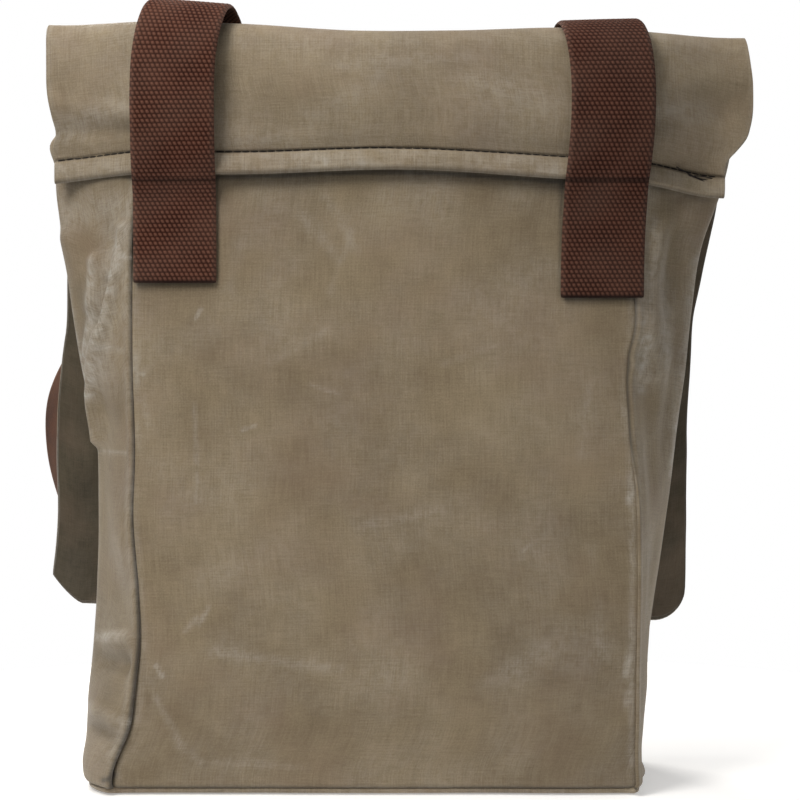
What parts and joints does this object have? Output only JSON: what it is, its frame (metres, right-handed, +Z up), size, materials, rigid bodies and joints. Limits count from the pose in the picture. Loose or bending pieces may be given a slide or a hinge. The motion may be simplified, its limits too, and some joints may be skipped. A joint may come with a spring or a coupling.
{
  "type": "saddle bag",
  "caption": "Upright waxed canvas saddle bag with a long drop flap, slack webbing hanging straps at the back and leather closing straps with roller buckles.",
  "frame": {"origin": "middle of the base's underside", "axes": "+Z up, +Y out of the front of the bag, +X to the right of a person who faces the back panel"},
  "size_m": [0.3431, 0.133, 0.3732],
  "materials": {
    "waxed_canvas": "matte, waxed",
    "lining_canvas": "matte",
    "cotton_tape": "matte",
    "webbing": "matte, coarse weave",
    "strap_leather": "satin",
    "antique_brass": "worn satin",
    "board": "matte"
  },
  "bodies": {
    "bag": {"back_panel": "waxed_canvas", "front_panel": "waxed_canvas", "left_gusset": "waxed_canvas", "right_gusset": "waxed_canvas", "base_panel": "waxed_canvas", "mouth_facing": "waxed_canvas", "flap_back": "waxed_canvas", "back_board_sleeve": "lining_canvas", "inner_pocket": "lining_canvas", "seam_binding_back_left": "cotton_tape", "seam_binding_back_right": "cotton_tape", "seam_binding_front_left": "cotton_tape", "seam_binding_front_right": "cotton_tape", "base_seam_binding": "cotton_tape", "base_board": "board", "back_board": "board", "buckle_tab_rivets": "antique_brass", "left_webbing_rear": "webbing", "left_buckle_tab": "strap_leather", "left_keeper": "strap_leather", "right_webbing_rear": "webbing", "right_buckle_tab": "strap_leather", "right_keeper": "strap_leather"},
    "flap": {"flap_front": "waxed_canvas", "flap_lining": "lining_canvas", "left_webbing_front": "webbing", "right_webbing_front": "webbing", "strap_rivets": "antique_brass"},
    "left_strap": {"left_leather_strap": "strap_leather"},
    "left_buckle": {"left_buckle_frame": "antique_brass"},
    "left_roller": {"left_buckle_roller": "antique_brass"},
    "left_prong": {"left_buckle_prong": "antique_brass"},
    "right_strap": {"right_leather_strap": "strap_leather"},
    "right_buckle": {"right_buckle_frame": "antique_brass"},
    "right_roller": {"right_buckle_roller": "antique_brass"},
    "right_prong": {"right_buckle_prong": "antique_brass"}
  },
  "joints": [
    {"name": "flap_fold", "type": "hinge", "parent": "bag", "child": "flap", "pos_m": [0, -0.0672, 0.35], "axis": [1, 0, 0], "range_deg": [0, 165]},
    {"name": "left_strap_fold", "type": "hinge", "parent": "flap", "child": "left_strap", "pos_m": [-0.1, 0.01004, 0.26848], "axis": [1, 0, 0], "range_deg": [0, 150]},
    {"name": "left_buckle_pivot", "type": "hinge", "parent": "bag", "child": "left_buckle", "pos_m": [-0.1, 0.04389, 0.04598], "axis": [-1, 0, 0], "range_deg": [0, 60]},
    {"name": "left_roller_spin", "type": "hinge", "parent": "left_buckle", "child": "left_roller", "pos_m": [-0.1, 0.04009, 0.06765], "axis": [1, 0, 0], "continuous": true},
    {"name": "left_prong_pivot", "type": "hinge", "parent": "left_buckle", "child": "left_prong", "pos_m": [-0.1, 0.04389, 0.04598], "axis": [-1, 0, 0], "range_deg": [0, 70]},
    {"name": "right_strap_fold", "type": "hinge", "parent": "flap", "child": "right_strap", "pos_m": [0.1, 0.01004, 0.26848], "axis": [1, 0, 0], "range_deg": [0, 150]},
    {"name": "right_buckle_pivot", "type": "hinge", "parent": "bag", "child": "right_buckle", "pos_m": [0.1, 0.04389, 0.04598], "axis": [-1, 0, 0], "range_deg": [0, 60]},
    {"name": "right_roller_spin", "type": "hinge", "parent": "right_buckle", "child": "right_roller", "pos_m": [0.1, 0.04009, 0.06765], "axis": [1, 0, 0], "continuous": true},
    {"name": "right_prong_pivot", "type": "hinge", "parent": "right_buckle", "child": "right_prong", "pos_m": [0.1, 0.04389, 0.04598], "axis": [-1, 0, 0], "range_deg": [0, 70]}
  ]
}
